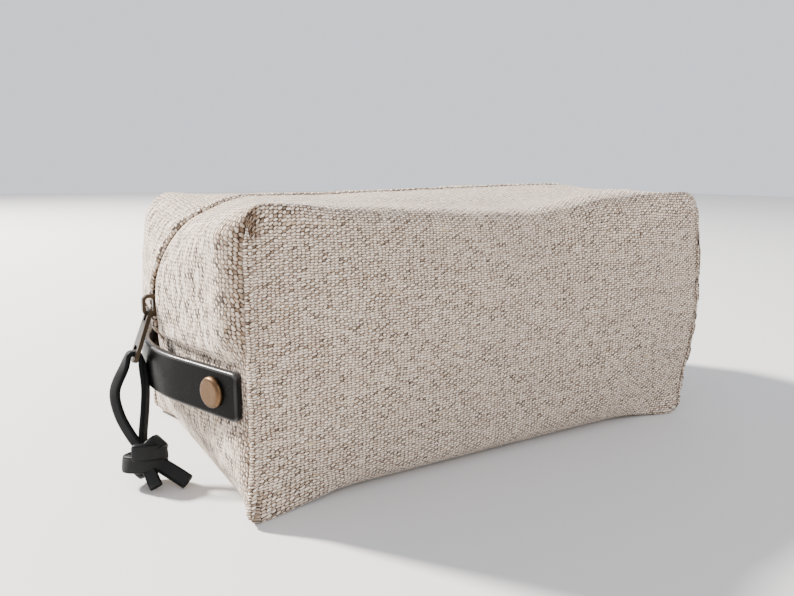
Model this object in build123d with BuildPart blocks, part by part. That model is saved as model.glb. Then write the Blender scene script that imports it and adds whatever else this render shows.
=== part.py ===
"""Shaving kit bag: a boxy fabric pouch with a zip that runs over the top and down both ends.

Row frame: +X along the bag's length, -Y towards the front face, +Z up, millimetres.
The origin is on the floor, in the middle of the base. The zip slider rests at the -X end.

Each fabric wall has three layers: the heavy woven outer, a stiffening interlining and a loose
lining. Upright seams pinch the four corners, and between them the end faces swell outwards.
The two halves of the top are lips that fold up about the long top folds to open the mouth.
"""

import math
import os

from build123d import *

# ---- the filled bag ----
SEAM_HALF_LENGTH = 101.6  # the upright corner seams
SHOULDER_HALF_LENGTH = 105.0  # the end face where the strap is riveted
SWELL_HALF_LENGTH = 117.0  # the end face at its fullest, on the bag's centre plane
FLOOR_TUCK = 0.4  # the corner seams lean in this much towards the floor
FLOOR_SWELL = 1.4  # how far the end face swells where it meets the floor
SHOULDER_Y = 44.0
HALF_WIDTH = 58.5
HEIGHT = 100.0
END_SEAM_Z = 50.0  # level seam across each end, where the zip stops
FOLD_RADIUS = 9.0  # the long folds along the top and bottom
ZIP_CORNER_RADIUS = 36.0  # the zip's turn from an end face onto the top
ZIP_CORNER_X = SWELL_HALF_LENGTH - ZIP_CORNER_RADIUS
ZIP_CORNER_Z = HEIGHT - ZIP_CORNER_RADIUS
SHOULDER_RADIUS = 12.0
SEAM_RADIUS = 6.0  # round of the peaks where the seams meet the top
BASE_RADIUS = 5.5  # round of the end faces' foot
BASE_TRIM = 0.4  # the outlines dip this far below the flat underside that is cut from them
BEYOND = 400.0  # cutting tools reach this far past the bag

# ---- fabric layers, as depths below the bag's outer surface ----
OUTER_LAYER = (0.0, 1.4)
INTERLINING_LAYER = (1.55, 3.05)
LINING_LAYER = (4.4, 5.0)
MIDDLE_Y = 1.0  # the front and rear pieces meet just behind the centre plane
MIDDLE_HALF_GAP = 0.05
RIVET_TO_LINING = 3.4  # the strap stands off the cloth, so the post needs this much more

# ---- lips ----
LIP_HALF_LENGTH = 74.0  # short enough to clear the slider when it stands on top
LIP_FOLD_Y = HALF_WIDTH - FOLD_RADIUS
LIP_CLEARANCE = 0.5
LIP_DEPTH = 8.0  # a lip's layers all lie within this depth

# ---- zip: distances from the chain's middle plane, + towards the outside of the bag ----
CHAIN_DEPTH = 4.9
CHAIN_RADIUS = ZIP_CORNER_RADIUS - CHAIN_DEPTH
CHAIN_X = SWELL_HALF_LENGTH - CHAIN_DEPTH
SLIT_HALF = {"outer": 1.3, "interlining": 15.0, "lining": 10.5}
TOOTH_PITCH = 2.6
TOOTH_LENGTH = 1.05
TOOTH_HALF_THICKNESS = 1.2
TOOTH_REACH = 0.55  # past the centre line, into the other row
TOOTH_ROOT = 3.45
TAPE_HALF_THICKNESS = 0.3
TAPE_INNER = 3.5
TAPE_FLAT = 6.4
TAPE_RAISED = 9.6
TAPE_OUTER = 14.0
TAPE_RISE = 1.6
TAPE_END_GAP = 1.0
FIRST_TOOTH_Z = 61.0  # left end, just past the slider's wedge
LAST_TOOTH_Z = 57.0  # right end, just past the bottom stop
STOP_LENGTH = 2.2
TOP_STOP_GAP = 0.9  # to the first tooth
TOP_STOP_INNER = 1.8  # the top stops leave the wedge free
BOTTOM_STOP_GAP = 1.2

# ---- slider, standing on the left end face ----
SLIDER_Z = 62.0
SLIDER_LENGTH = 12.0
SLIDER_HALF_WIDTH = 5.3
SLIDER_CORNER = 2.4
SLIDER_TOP = (1.35, 2.35)
SLIDER_BOTTOM = (-3.3, -2.3)
FLANGE_INNER = 3.9
TOP_FLANGE_FACE = 0.5
BOTTOM_FLANGE_FACE = -1.4
WEDGE_HALF_WIDTH = 1.4
WEDGE_LENGTH = 3.2
WEDGE_START = 0.8  # from the slider's lower end
CROWN_Z = (57.5, 65.5)
CROWN_TOP = 8.8
CROWN_WINDOW = (5.1, 7.6)
CROWN_WALL = 1.2
CROWN_HALF_WIDTH = 1.0
CROWN_ROUND = 2.4
CROWN_WINDOW_ROUND = 1.0
CROWN_GAP = 0.02  # between the crown's foot and the slider

# ---- pull tab and cord ----
PULL_AXIS = (-118.45, 0.0, 59.6)
PULL_LEAN = 20.0  # degrees from hanging straight down, leaning out over the strap
PULL_BAR_RADIUS = 0.75
PULL_THICKNESS = 1.4
PULL_HEAD_WIDTH = 6.0
PULL_TIP_WIDTH = 7.4
PULL_LENGTH = 19.4  # axis to tip
PULL_HEAD_SLOT = (2.6, 4.0)  # width, and reach from the axis
PULL_TIP_SLOT_WIDTH = 4.4
PULL_TIP_SLOT_LENGTH = 4.2
PULL_TIP_SLOT_ROUND = 1.2
PULL_CORNER = 2.0
PULL_SHOULDER = 1.0  # straight sides this far past the head slot
CORD_TO_TIP = 0.9
CORD_RADIUS = 1.0
CORD_BEND = 2.2  # radius of its turn round the end bar
CORD_BULGE = (-6.6, -3.0, -13.0)  # the outer leg bows out through here, from the axis
CORD_INNER = (0.8, -3.0, -13.0)  # and the inner leg through here
CORD_NECK = (0.0, 1.5, 3.72)  # where the legs enter the knot, from its centre
CORD_LEG_GAP = 1.2  # half the distance between them there
KNOT_CENTRE = (-126.5, -12.0, 10.5)
KNOT_RADIUS = 6.2
TAIL_LENGTH = 13.0
TAIL_SECTION = (3.4, 1.8)
TAIL_HEADINGS = ((0.15, -0.8, -0.4), (0.62, -0.6, -0.4))
TAIL_FACE = (0.7, 0.3, -0.6)  # the tails' flat sides turn this way

# ---- straps and rivets ----
STRAP_WIDTH = 16.0
STRAP_THICKNESS = 2.8
STRAP_Z = 40.0
STRAP_END_Y = 55.0
STRAP_END_X = 105.4  # outer face, at the strap's cut end
STRAP_SLOPE = 0.36  # the straight runs splay this much from the seams to the loop
STRAP_LOOP_RADIUS = 75.0
STRAP_EDGE_ROUND = 0.9
RIVET_Y = 44.0
RIVET_CAP_RADIUS = 5.2
RIVET_CAP_HEIGHT = 1.7
RIVET_CAP_ROUND = 1.36
RIVET_SEAT_GAP = 0.05  # between the cap and the leather
RIVET_POST_RADIUS = 1.6
RIVET_SOCKET_RADIUS = 1.65  # in the back cap
RIVET_HOLE_RADIUS = 1.75  # through the leather and the cloth
RIVET_HOLE_DEPTH = 12.0
RIVET_BACK_THICKNESS = 0.9
RIVET_BACK_DEPTH = LINING_LAYER[1] + RIVET_TO_LINING  # from the strap's back face to the post's end

LEFT, RIGHT = -1, 1
FRONT, REAR = -1, 1

os.makedirs("parts", exist_ok=True)


def write(part, name):
    """Labels a finished piece and writes its STEP file."""
    part.label = name
    export_step(part, f"parts/{name}.step")


# ---------------------------------------------------------------- the bag's form


def end_section(y, floor_half, wall_half, top_radius, base_radius, inset):
    """The bag's outline at one station across its width, drawn inset below the outer surface."""
    floor_half, wall_half = floor_half - inset, wall_half - inset
    low, high = inset - BASE_TRIM, HEIGHT - inset
    with BuildSketch(Plane.XZ.offset(-y)) as section:
        with BuildLine():
            Polyline(
                (-floor_half, low),
                (floor_half, low),
                (wall_half, END_SEAM_Z),
                (wall_half, high),
                (-wall_half, high),
                (-wall_half, END_SEAM_Z),
                close=True,
            )
        make_face()
        corners = section.vertices().group_by(Axis.Y)
        fillet(corners[-1], radius=top_radius - inset)
        fillet(corners[0], radius=base_radius)
    return section.sketch


def bag_form(inset):
    """A solid of the bag as if it were filled to the given depth below its outer surface."""
    edge_y = HALF_WIDTH - inset
    floor = SEAM_HALF_LENGTH - FLOOR_TUCK
    stations = [
        (edge_y, floor, SEAM_HALF_LENGTH, SEAM_RADIUS, BASE_RADIUS),
        (SHOULDER_Y, floor + FLOOR_SWELL / 2, SHOULDER_HALF_LENGTH, SHOULDER_RADIUS, BASE_RADIUS),
        (0.0, floor + FLOOR_SWELL, SWELL_HALF_LENGTH, ZIP_CORNER_RADIUS, BASE_RADIUS),
    ]
    across = [(-y, *rest) for y, *rest in stations] + [s for s in reversed(stations) if s[0] > 0]
    sections = [end_section(*station, inset) for station in across]
    with BuildPart() as form:
        loft(sections)
        with BuildSketch(Plane.YZ):
            with Locations((0, HEIGHT / 2)):
                RectangleRounded(2 * edge_y, HEIGHT - 2 * inset, FOLD_RADIUS - inset)
        extrude(amount=BEYOND, both=True, mode=Mode.INTERSECT)
    return form.part


def block(x, y, z):
    """A plain cutting block between two limits on each axis."""
    with BuildPart() as tool:
        with Locations(((x[0] + x[1]) / 2, (y[0] + y[1]) / 2, (z[0] + z[1]) / 2)):
            Box(x[1] - x[0], y[1] - y[0], z[1] - z[0])
    return tool.part


def side_span(side, inner, outer):
    """Limits on Y from inner to outer, measured from the centre plane towards one side."""
    return (inner, outer) if side == REAR else (-outer, -inner)


def lip_block(side, slit_half, clearance):
    """The space that a lip takes up, grown by a clearance."""
    length = LIP_HALF_LENGTH + clearance
    fold = LIP_FOLD_Y - LIP_CLEARANCE + clearance
    return block(
        (-length, length),
        side_span(side, slit_half, fold),
        (HEIGHT - LIP_DEPTH, HEIGHT + 1),
    )


def wall(side, layer, slit_half, holes=()):
    """One fabric layer of the front or the rear half, without its lip."""
    half_span = side_span(side, side * MIDDLE_Y + MIDDLE_HALF_GAP, BEYOND)
    with BuildPart() as panel:
        add(FORMS[layer[0]])
        add(FORMS[layer[1]], mode=Mode.SUBTRACT)
        add(block((-BEYOND, BEYOND), half_span, (-1, BEYOND)), mode=Mode.INTERSECT)
        add(
            block((-BEYOND, BEYOND), (-slit_half, slit_half), (END_SEAM_Z, BEYOND)),
            mode=Mode.SUBTRACT,
        )
        add(lip_block(side, 0, 2 * LIP_CLEARANCE), mode=Mode.SUBTRACT)
        for hole in holes:
            add(hole, mode=Mode.SUBTRACT)
    return panel.part


def lip(side, layer, slit_half):
    """The matching layer of the lip, which is flat."""
    inner_edge = side_span(side, slit_half, LIP_FOLD_Y - LIP_CLEARANCE)
    return block(
        (-LIP_HALF_LENGTH, LIP_HALF_LENGTH), inner_edge, (HEIGHT - layer[1], HEIGHT - layer[0])
    )


# ---------------------------------------------------------------- rivets and straps


def strap_plane(end, side, from_outer_face):
    """A plane square to the strap at a rivet, its normal pointing out of the bag."""
    x = STRAP_END_X + STRAP_SLOPE * (STRAP_END_Y - RIVET_Y)
    length = math.hypot(1, STRAP_SLOPE)
    normal = Vector(end / length, side * STRAP_SLOPE / length, 0)
    face = Vector(end * x, side * RIVET_Y, STRAP_Z)
    return Plane(origin=face + normal * from_outer_face, x_dir=(0, 0, 1), z_dir=normal)


def rivet_hole(end, side):
    """Clearance hole for one rivet, through the strap and the fabric behind it."""
    with BuildPart() as hole:
        with BuildSketch(strap_plane(end, side, 1)):
            Circle(RIVET_HOLE_RADIUS)
        extrude(amount=-RIVET_HOLE_DEPTH)
    return hole.part


def rivet_front():
    """Domed cap with its post, standing on the strap's outer face at the origin."""
    middle = RIVET_SEAT_GAP + RIVET_CAP_HEIGHT / 2
    with BuildPart() as rivet:
        with BuildSketch(Plane.XY.offset(RIVET_SEAT_GAP)):
            Circle(RIVET_CAP_RADIUS)
        extrude(amount=RIVET_CAP_HEIGHT)
        fillet(rivet.faces().sort_by(Axis.Z)[-1].edges(), radius=RIVET_CAP_ROUND)
        with BuildSketch(Plane.XY.offset(middle)):
            Circle(RIVET_POST_RADIUS)
        extrude(amount=-(middle + STRAP_THICKNESS + RIVET_BACK_DEPTH))
    return rivet.part


def rivet_back():
    """Flat cap inside the bag, with the socket that the post is set in."""
    start = -(STRAP_THICKNESS + RIVET_BACK_DEPTH) + RIVET_BACK_THICKNESS
    with BuildPart() as back:
        with BuildSketch(Plane.XY.offset(start)):
            Circle(RIVET_CAP_RADIUS)
            Circle(RIVET_SOCKET_RADIUS, mode=Mode.SUBTRACT)
        extrude(amount=-RIVET_BACK_THICKNESS)
    return back.part


def strap(end):
    """Leather strap bowed across one end face and riveted near both corner seams."""
    peak_x = STRAP_END_X + STRAP_SLOPE * STRAP_END_Y
    with BuildPart() as band:
        with BuildSketch(Plane.XY.offset(STRAP_Z - STRAP_WIDTH / 2)):
            with BuildLine():
                FilletPolyline(
                    (end * STRAP_END_X, -STRAP_END_Y),
                    (end * peak_x, 0),
                    (end * STRAP_END_X, STRAP_END_Y),
                    radius=STRAP_LOOP_RADIUS,
                )
                inner = STRAP_THICKNESS * math.hypot(1, STRAP_SLOPE)
                FilletPolyline(
                    (end * (STRAP_END_X - inner), -STRAP_END_Y),
                    (end * (peak_x - inner), 0),
                    (end * (STRAP_END_X - inner), STRAP_END_Y),
                    radius=STRAP_LOOP_RADIUS - STRAP_THICKNESS,
                )
                for y in (-STRAP_END_Y, STRAP_END_Y):
                    Line((end * STRAP_END_X, y), (end * (STRAP_END_X - inner), y))
            make_face()
        extrude(amount=STRAP_WIDTH)
        long_edges = band.edges().filter_by(Plane.XY).sort_by(Edge.length)[-8:]
        outer_edges = long_edges.sort_by_distance(Vector(end * BEYOND, 0, STRAP_Z))[:2]
        fillet(outer_edges, radius=STRAP_EDGE_ROUND)
        for side in (FRONT, REAR):
            add(rivet_hole(end, side), mode=Mode.SUBTRACT)
    return band.part


# ---------------------------------------------------------------- zip


def zip_path():
    """The middle line of the chain: up the left end, over the top and down the right end."""
    with BuildLine(Plane.XZ) as path:
        FilletPolyline(
            (-CHAIN_X, END_SEAM_Z + TAPE_END_GAP),
            (-CHAIN_X, HEIGHT - CHAIN_DEPTH),
            (CHAIN_X, HEIGHT - CHAIN_DEPTH),
            (CHAIN_X, END_SEAM_Z + TAPE_END_GAP),
            radius=CHAIN_RADIUS,
        )
    return path.wire()


def tape(side):
    """One woven tape: flat beside the teeth, then rising to lie under the outer fabric."""
    half = TAPE_HALF_THICKNESS
    rise = TAPE_RISE
    with BuildPart() as run:
        with BuildSketch(Plane.XY.offset(END_SEAM_Z + TAPE_END_GAP)):
            with BuildLine():
                Polyline(
                    (-CHAIN_X + half, side * TAPE_INNER),
                    (-CHAIN_X + half, side * TAPE_FLAT),
                    (-CHAIN_X + half - rise, side * TAPE_RAISED),
                    (-CHAIN_X + half - rise, side * TAPE_OUTER),
                    (-CHAIN_X - half - rise, side * TAPE_OUTER),
                    (-CHAIN_X - half - rise, side * TAPE_RAISED),
                    (-CHAIN_X - half, side * TAPE_FLAT),
                    (-CHAIN_X - half, side * TAPE_INNER),
                    close=True,
                )
            make_face()
        sweep(path=zip_path())
    return run.part


def tape_top(side):
    """The stretch of tape that is sewn to the lip."""
    with BuildPart() as run:
        add(tape(side))
        add(
            block((-LIP_HALF_LENGTH, LIP_HALF_LENGTH), (-BEYOND, BEYOND), (0, BEYOND)),
            mode=Mode.INTERSECT,
        )
    return run.part


def tape_ends(side):
    """The stretches of tape on the end faces and round the corners."""
    length = LIP_HALF_LENGTH + 2 * LIP_CLEARANCE
    with BuildPart() as run:
        add(tape(side))
        add(block((-length, length), (-BEYOND, BEYOND), (0, BEYOND)), mode=Mode.SUBTRACT)
    return run.part


def chain_location(s):
    """Where the chain is, s along it: local X along the chain, local Z out of the bag."""
    rise = ZIP_CORNER_Z - FIRST_TOOTH_Z
    turn = CHAIN_RADIUS * math.pi / 2
    flat = 2 * ZIP_CORNER_X
    if s < rise:
        return (-CHAIN_X, FIRST_TOOTH_Z + s, 90)
    if s < rise + turn:
        angle = (s - rise) / CHAIN_RADIUS
        x = -ZIP_CORNER_X - CHAIN_RADIUS * math.cos(angle)
        return (x, ZIP_CORNER_Z + CHAIN_RADIUS * math.sin(angle), 90 - math.degrees(angle))
    if s < rise + turn + flat:
        return (-ZIP_CORNER_X + s - rise - turn, HEIGHT - CHAIN_DEPTH, 0)
    if s < rise + 2 * turn + flat:
        angle = (s - rise - turn - flat) / CHAIN_RADIUS
        x = ZIP_CORNER_X + CHAIN_RADIUS * math.sin(angle)
        return (x, ZIP_CORNER_Z + CHAIN_RADIUS * math.cos(angle), -math.degrees(angle))
    return (CHAIN_X, ZIP_CORNER_Z - (s - rise - 2 * turn - flat), -90)


def tooth_locations(side, stretch):
    """Places of one row's teeth on the left end and corner, on the lip, or on the right end."""
    run = (
        (ZIP_CORNER_Z - FIRST_TOOTH_Z)
        + CHAIN_RADIUS * math.pi
        + 2 * ZIP_CORNER_X
        + (ZIP_CORNER_Z - LAST_TOOTH_Z)
    )
    offset = 0.0 if side == FRONT else TOOTH_PITCH / 2
    places = []
    for i in range(int((run - offset) / TOOTH_PITCH) + 1):
        x, z, tilt = chain_location(offset + i * TOOTH_PITCH)
        on_lip = abs(x) < LIP_HALF_LENGTH - TOOTH_LENGTH / 2
        if stretch == ("top" if on_lip else "left" if x < 0 else "right"):
            places.append(Location((x, 0, z), (0, -tilt, 0)))
    return places


def teeth(side, stretch):
    """One row of teeth, each a block with a waist where the other row's heads sit."""
    middle = side * (TOOTH_ROOT - TOOTH_REACH) / 2
    with BuildPart() as row:
        with Locations(tooth_locations(side, stretch)):
            with Locations((0, middle, 0)):
                Box(TOOTH_LENGTH, TOOTH_ROOT + TOOTH_REACH, 2 * TOOTH_HALF_THICKNESS)
    return row.part


def stop(end, side, low_z, inner):
    """One crimped metal stop on the tape's edge."""
    x = end * CHAIN_X
    thick = TOOTH_HALF_THICKNESS
    return block((x - thick, x + thick), side_span(side, inner, TOOTH_ROOT), (low_z, low_z + STOP_LENGTH))


# ---------------------------------------------------------------- slider, pull and cord


def outward(distance):
    """World X at a distance outwards from the chain's middle plane on the left end."""
    return -CHAIN_X - distance


def slider_body():
    """Two plates with side flanges, held apart by the wedge that parts the teeth."""
    low, high = SLIDER_Z - SLIDER_LENGTH / 2, SLIDER_Z + SLIDER_LENGTH / 2
    plates = [(SLIDER_TOP, TOP_FLANGE_FACE), (SLIDER_BOTTOM, BOTTOM_FLANGE_FACE)]
    with BuildPart() as body:
        for (near, far), flange_face in plates:
            with BuildSketch(Plane.YZ.offset(outward(far))):
                with Locations((0, SLIDER_Z)):
                    RectangleRounded(2 * SLIDER_HALF_WIDTH, SLIDER_LENGTH, SLIDER_CORNER)
            extrude(amount=far - near)
            for side in (FRONT, REAR):
                span = side_span(side, FLANGE_INNER, SLIDER_HALF_WIDTH)
                faces = sorted((outward(flange_face), outward(near if flange_face > 0 else far)))
                add(block(faces, span, (low + SLIDER_CORNER, high - SLIDER_CORNER)))
        wedge_z = (low + WEDGE_START, low + WEDGE_START + WEDGE_LENGTH)
        faces = (outward(SLIDER_TOP[0]), outward(SLIDER_BOTTOM[1]))
        add(block(faces, (-WEDGE_HALF_WIDTH, WEDGE_HALF_WIDTH), wedge_z))
    return body.part


def slider_crown():
    """Loop that stands out through the slit and carries the pull tab."""
    base = SLIDER_TOP[1] + CROWN_GAP
    with BuildPart() as crown:
        with BuildSketch(Plane.XZ.offset(-CROWN_HALF_WIDTH)) as side_view:
            with Locations(((outward(base) + outward(CROWN_TOP)) / 2, sum(CROWN_Z) / 2)):
                Rectangle(CROWN_TOP - base, CROWN_Z[1] - CROWN_Z[0])
            fillet(side_view.vertices().group_by(Axis.X)[0], radius=CROWN_ROUND)
            window_x = (outward(CROWN_WINDOW[0]) + outward(CROWN_WINDOW[1])) / 2
            with Locations((window_x, sum(CROWN_Z) / 2)):
                RectangleRounded(
                    CROWN_WINDOW[1] - CROWN_WINDOW[0],
                    CROWN_Z[1] - CROWN_Z[0] - 2 * CROWN_WALL,
                    CROWN_WINDOW_ROUND,
                    mode=Mode.SUBTRACT,
                )
        extrude(amount=2 * CROWN_HALF_WIDTH)
    return crown.part


def pull_plane():
    """Local X across the tab, local Y from the axis towards the tip, local Z out of its face."""
    lean = math.radians(PULL_LEAN)
    down = Vector(-math.sin(lean), 0, -math.cos(lean))
    return Plane(origin=PULL_AXIS, x_dir=(0, 1, 0), z_dir=Vector(0, 1, 0).cross(down))


def pull_tab():
    """Flat tab that hangs on its cross bar, with a slot at the tip for the cord."""
    head_slot_width, head_slot_reach = PULL_HEAD_SLOT
    slot_start = PULL_LENGTH - 2 * CORD_TO_TIP - PULL_TIP_SLOT_LENGTH
    plane = pull_plane()
    with BuildPart() as tab:
        with BuildSketch(plane.offset(-PULL_THICKNESS / 2)) as outline:
            with BuildLine():
                Polyline(
                    (-PULL_HEAD_WIDTH / 2, 0),
                    (-PULL_HEAD_WIDTH / 2, head_slot_reach + PULL_SHOULDER),
                    (-PULL_TIP_WIDTH / 2, slot_start),
                    (-PULL_TIP_WIDTH / 2, PULL_LENGTH),
                    (PULL_TIP_WIDTH / 2, PULL_LENGTH),
                    (PULL_TIP_WIDTH / 2, slot_start),
                    (PULL_HEAD_WIDTH / 2, head_slot_reach + PULL_SHOULDER),
                    (PULL_HEAD_WIDTH / 2, 0),
                    close=True,
                )
            make_face()
            fillet(outline.vertices().group_by(Axis.Y)[-1], radius=PULL_CORNER)
            with Locations((0, head_slot_reach / 2)):
                Rectangle(head_slot_width, head_slot_reach, mode=Mode.SUBTRACT)
            with Locations((0, slot_start + PULL_TIP_SLOT_LENGTH / 2)):
                RectangleRounded(
                    PULL_TIP_SLOT_WIDTH,
                    PULL_TIP_SLOT_LENGTH,
                    PULL_TIP_SLOT_ROUND,
                    mode=Mode.SUBTRACT,
                )
        extrude(amount=PULL_THICKNESS)
        bar_plane = Plane.XZ.offset(-PULL_HEAD_WIDTH / 2)
        with BuildSketch(bar_plane):
            with Locations((PULL_AXIS[0], PULL_AXIS[2])):
                Circle(PULL_BAR_RADIUS)
        extrude(amount=PULL_HEAD_WIDTH)
    return tab.part


def cord_axis():
    """The point on the tab's end bar that the cord hangs from."""
    return pull_plane().from_local_coords(Vector(0, PULL_LENGTH - CORD_TO_TIP, 0))


def cord():
    """A cord doubled through the tab, tied in one knot, with two cut tails."""
    pivot = cord_axis()
    out = Vector(-CORD_BEND, 0, 0)
    knot = Vector(*KNOT_CENTRE)
    neck = knot + Vector(*CORD_NECK)
    apart = Vector(CORD_LEG_GAP, 0, 0)
    with BuildPart() as whole:
        with BuildLine() as loop:
            Spline(
                neck - apart,
                pivot + Vector(*CORD_BULGE),
                pivot + out,
                tangents=((-0.2, 0.3, 1), (0, 0, 1)),
            )
            ThreePointArc(pivot + out, pivot + Vector(0, 0, CORD_BEND), pivot - out)
            Spline(
                pivot - out,
                pivot + Vector(*CORD_INNER),
                neck + apart,
                tangents=((0, 0, -1), (-0.2, -0.3, -1)),
            )
        with BuildSketch(Plane(origin=loop.line @ 0, z_dir=loop.line % 0)):
            Circle(CORD_RADIUS)
        sweep()
        with Locations(knot):
            Sphere(KNOT_RADIUS)
        for heading in TAIL_HEADINGS:
            with BuildSketch(Plane(origin=knot, x_dir=TAIL_FACE, z_dir=heading)):
                Rectangle(*TAIL_SECTION)
            extrude(amount=TAIL_LENGTH)
    return whole.part


# ---------------------------------------------------------------- build and write

FORMS = {
    depth: bag_form(depth) for layer in (OUTER_LAYER, INTERLINING_LAYER, LINING_LAYER) for depth in layer
}
ALL_RIVETS = [(end, side) for end in (LEFT, RIGHT) for side in (FRONT, REAR)]
RIVET_SEATS = [strap_plane(end, side, 0) for end, side in ALL_RIVETS]

for side, word in ((FRONT, "front"), (REAR, "rear")):
    rivet_holes = [rivet_hole(end, s) for end, s in ALL_RIVETS if s == side]
    write(wall(side, OUTER_LAYER, SLIT_HALF["outer"], rivet_holes), f"outer_{word}_panel")
    write(
        wall(side, INTERLINING_LAYER, SLIT_HALF["interlining"], rivet_holes),
        f"interlining_{word}",
    )
    write(wall(side, LINING_LAYER, SLIT_HALF["lining"], rivet_holes), f"lining_{word}")
    write(lip(side, OUTER_LAYER, SLIT_HALF["outer"]), f"outer_{word}_lip")
    write(lip(side, INTERLINING_LAYER, SLIT_HALF["interlining"]), f"interlining_{word}_lip")
    write(lip(side, LINING_LAYER, SLIT_HALF["lining"]), f"lining_{word}_lip")
    write(tape_ends(side), f"{word}_tape_ends")
    write(tape_top(side), f"{word}_tape_top")
    for stretch in ("left", "top", "right"):
        write(teeth(side, stretch), f"{word}_teeth_{stretch}")

with BuildPart() as top_stops:
    for side in (FRONT, REAR):
        add(stop(LEFT, side, FIRST_TOOTH_Z - STOP_LENGTH - TOP_STOP_GAP, TOP_STOP_INNER))
write(top_stops.part, "top_stops")

with BuildPart() as bottom_stop:
    for side in (FRONT, REAR):
        add(stop(RIGHT, side, LAST_TOOTH_Z - STOP_LENGTH - BOTTOM_STOP_GAP, 0))
write(bottom_stop.part, "bottom_stop")

for end, word in ((LEFT, "left"), (RIGHT, "right")):
    write(strap(end), f"{word}_strap")

with BuildPart() as rivet_fronts:
    with Locations(*RIVET_SEATS):
        add(rivet_front())
write(rivet_fronts.part, "rivet_fronts")

with BuildPart() as rivet_backs:
    with Locations(*RIVET_SEATS):
        add(rivet_back())
write(rivet_backs.part, "rivet_backs")

write(slider_body(), "slider_body")
write(slider_crown(), "slider_crown")
write(pull_tab(), "pull_tab")
write(cord(), "pull_cord")
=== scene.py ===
"""Looks for the shaving kit bag: woven cloth skins, zip, leather straps and knotted lace."""

import math

import bmesh
import bpy
import numpy as np
from mathutils import Matrix, Vector, noise


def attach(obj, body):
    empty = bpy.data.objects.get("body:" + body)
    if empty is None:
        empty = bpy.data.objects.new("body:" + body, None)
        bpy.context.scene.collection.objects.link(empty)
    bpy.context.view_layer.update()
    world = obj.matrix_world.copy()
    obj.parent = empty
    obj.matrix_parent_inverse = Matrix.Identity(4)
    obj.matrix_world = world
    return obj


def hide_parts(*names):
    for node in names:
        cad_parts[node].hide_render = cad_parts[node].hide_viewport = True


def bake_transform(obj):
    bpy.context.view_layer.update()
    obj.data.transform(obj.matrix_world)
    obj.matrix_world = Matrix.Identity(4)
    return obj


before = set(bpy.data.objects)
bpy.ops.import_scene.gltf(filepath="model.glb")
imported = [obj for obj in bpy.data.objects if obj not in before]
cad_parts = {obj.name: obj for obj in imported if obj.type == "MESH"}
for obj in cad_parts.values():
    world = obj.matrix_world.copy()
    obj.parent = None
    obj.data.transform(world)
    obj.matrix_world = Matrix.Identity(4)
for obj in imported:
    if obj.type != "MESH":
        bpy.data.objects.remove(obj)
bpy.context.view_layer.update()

MM = 0.001

# ---- the bag's form, in mm

SEAM_HALF = 101.6
SWELL = 15.2
SWELL_BLUNT = 0.25  # how blunt the swell's peak is, as a share of the half width
HALF_WIDTH = 58.5
HEIGHT = 100.0
END_SEAM_Z = 50.0
STRAP_Z = 40.0
FOLD = 9.0
FOLD_START = HALF_WIDTH - FOLD
CORNER_RADIUS = 36.0
SEAM_CORNER_RADIUS = 6.0
CORNER_TAPER = 1.15  # how fast the big corner radius gives way to the small one
BASE_RADIUS = 3.0
SMALLEST_RADIUS = 1.2
SMALLEST_BASE_RADIUS = 1.0
FLOOR_INSET = 1.0
FLOOR_HOLLOW = 0.6
LOWER_BULGE = 0.9
SLIT_HALF = 1.9
SEAM_PUFF = 2.6  # the end cloth rises this much close beside the corner seams

TOP_STEPS = 50
ARC_STEPS = 18
WALL_STEPS = 16
LOWER_STEPS = 24
BASE_STEPS = 46
RING_RUNS = (("arc", ARC_STEPS), ("wall", WALL_STEPS), ("lower", LOWER_STEPS), ("base", BASE_STEPS))
FLOOR_CROWDING = 1.25  # packs the lower wall's stations towards the floor


def smoothstep(low, high, value):
    t = min(max((value - low) / (high - low), 0.0), 1.0)
    return t * t * (3 - 2 * t)


def bell(value, width):
    """1 at zero, falling away on both sides."""
    return math.exp(-((value / width) ** 2))


def swell(y):
    """1 on the bag's centre plane, 0 at the corner seams."""
    reach = min(abs(y) / HALF_WIDTH, 1.0)
    peak = math.hypot(1, SWELL_BLUNT) - SWELL_BLUNT
    return 1 - (math.hypot(reach, SWELL_BLUNT) - SWELL_BLUNT) / peak


def wall_half(y):
    return SEAM_HALF + (SWELL - SEAM_PUFF) * swell(y)


def corner_radius(y):
    return SEAM_CORNER_RADIUS + (CORNER_RADIUS - SEAM_CORNER_RADIUS) * swell(y) ** CORNER_TAPER


def floor_half(y):
    return SEAM_HALF - FLOOR_INSET - FLOOR_HOLLOW * swell(y)


def lower_wall_x(y, z):
    """The end face below its level seam, swelling up from the floor."""
    low = floor_half(y)
    share = math.sin(min(z / END_SEAM_Z, 1.0) * math.pi / 2) ** LOWER_BULGE
    return low + (wall_half(y) - low) * share


def ring_samples():
    """Stations round one XZ outline from the top's middle to the base's middle."""
    samples = [("top", i / TOP_STEPS) for i in range(TOP_STEPS + 1)]
    for kind, steps in RING_RUNS:
        samples += [(kind, i / steps) for i in range(1, steps + 1)]
    return samples


def curl(radius, past):
    """How far an edge of this radius has drawn in, past the start of its curl."""
    return radius - math.sqrt(max(radius**2 - past**2, 0.0))


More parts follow.
